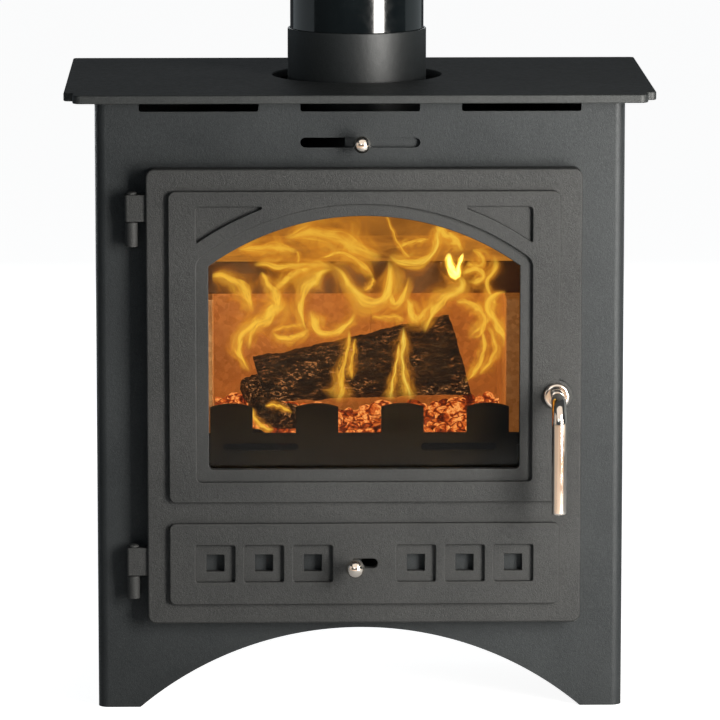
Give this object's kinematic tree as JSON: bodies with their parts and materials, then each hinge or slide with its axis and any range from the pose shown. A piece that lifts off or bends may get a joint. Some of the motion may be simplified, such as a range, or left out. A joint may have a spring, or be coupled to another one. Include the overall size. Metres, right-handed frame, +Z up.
{
  "type": "wood burning stove",
  "caption": "Free-standing steel wood burning stove with an arched-window cast door, sliding air controls, a brick-lined firebox and a top flue outlet.",
  "frame": {"origin": "on the floor, below the middle of the bounding box", "axes": "+Z up, -Y out of the front (the door's side), +X to the right seen from the front"},
  "size_m": [0.558, 0.395, 0.75],
  "materials": {
    "casing_paint": "matt metallic charcoal stove paint",
    "door_paint": "matt metallic charcoal paint on rough casting",
    "collar_iron": "matt black",
    "flue_enamel": "gloss black vitreous enamel",
    "chrome": "polished",
    "plated_steel": "zinc plated",
    "black_steel": "heat-darkened matt black",
    "firebrick": "pressed vermiculite board",
    "door_glass": "clear, faintly amber heat-proof glass",
    "fibre_rope": "woven glass fibre"
  },
  "bodies": {
    "stove": {"airwash_guide_lower": "black_steel", "airwash_guide_upper": "black_steel", "ash_pan": "black_steel", "ash_pan_handle": "plated_steel", "back_panel": "casing_paint", "back_screw_1": "plated_steel", "back_screw_2": "plated_steel", "back_screw_3": "plated_steel", "back_screw_4": "plated_steel", "baffle_board": "firebrick", "base_shield": "black_steel", "body_casing": "casing_paint", "brick_back_left": "firebrick", "brick_back_right": "firebrick", "brick_left": "firebrick", "brick_right": "firebrick", "catch_keeper": "plated_steel", "firebox_back": "black_steel", "firebox_floor": "black_steel", "firebox_roof": "black_steel", "firebox_wall_left": "black_steel", "firebox_wall_right": "black_steel", "flue_collar": "collar_iron", "flue_pipe": "flue_enamel", "front_frame": "black_steel", "grate": "collar_iron", "grate_rail_left": "black_steel", "grate_rail_right": "black_steel", "guard_bracket_left": "black_steel", "guard_bracket_right": "black_steel", "hinge_knuckle_lower": "door_paint", "hinge_knuckle_upper": "door_paint", "hinge_pin_lower": "door_paint", "hinge_pin_upper": "door_paint", "top_plate": "casing_paint"},
    "door": {"door_casting": "door_paint", "door_rope_seal": "fibre_rope", "glass_gasket": "fibre_rope", "door_glass": "door_glass", "primary_guide_upper": "black_steel", "primary_guide_lower": "black_steel", "handle_rosette": "chrome", "glass_clip_1": "plated_steel", "glass_clip_2": "plated_steel", "glass_clip_3": "plated_steel", "glass_clip_4": "plated_steel", "clip_screw_1": "plated_steel", "clip_screw_2": "plated_steel", "clip_screw_3": "plated_steel", "clip_screw_4": "plated_steel"},
    "handle": {"handle_bar": "chrome", "handle_spindle": "plated_steel", "latch_cam": "plated_steel", "spindle_nut": "plated_steel"},
    "primary_air": {"primary_slider": "plated_steel", "primary_knob": "chrome"},
    "airwash": {"airwash_slider": "plated_steel", "airwash_knob": "chrome"},
    "guard": {"log_guard": "black_steel"}
  },
  "joints": [
    {"name": "door_hinge", "type": "hinge", "parent": "stove", "child": "door", "pos_m": [-0.2156, -0.1265, 0.3], "axis": [0, 0, -1], "range_deg": [0, 115]},
    {"name": "handle_turn", "type": "hinge", "parent": "door", "child": "handle", "pos_m": [0.185, -0.1455, 0.3045], "axis": [0, -1, 0], "range_deg": [0, 90]},
    {"name": "primary_slide", "type": "slide", "parent": "door", "child": "primary_air", "axis": [1, 0, 0], "range_m": [0, 0.0178]},
    {"name": "airwash_slide", "type": "slide", "parent": "stove", "child": "airwash", "axis": [1, 0, 0], "range_m": [-0.053, 0.05]},
    {"name": "log_guard_lift", "type": "slide", "parent": "stove", "child": "guard", "axis": [0, 0, 1], "range_m": [0, 0.03]}
  ]
}
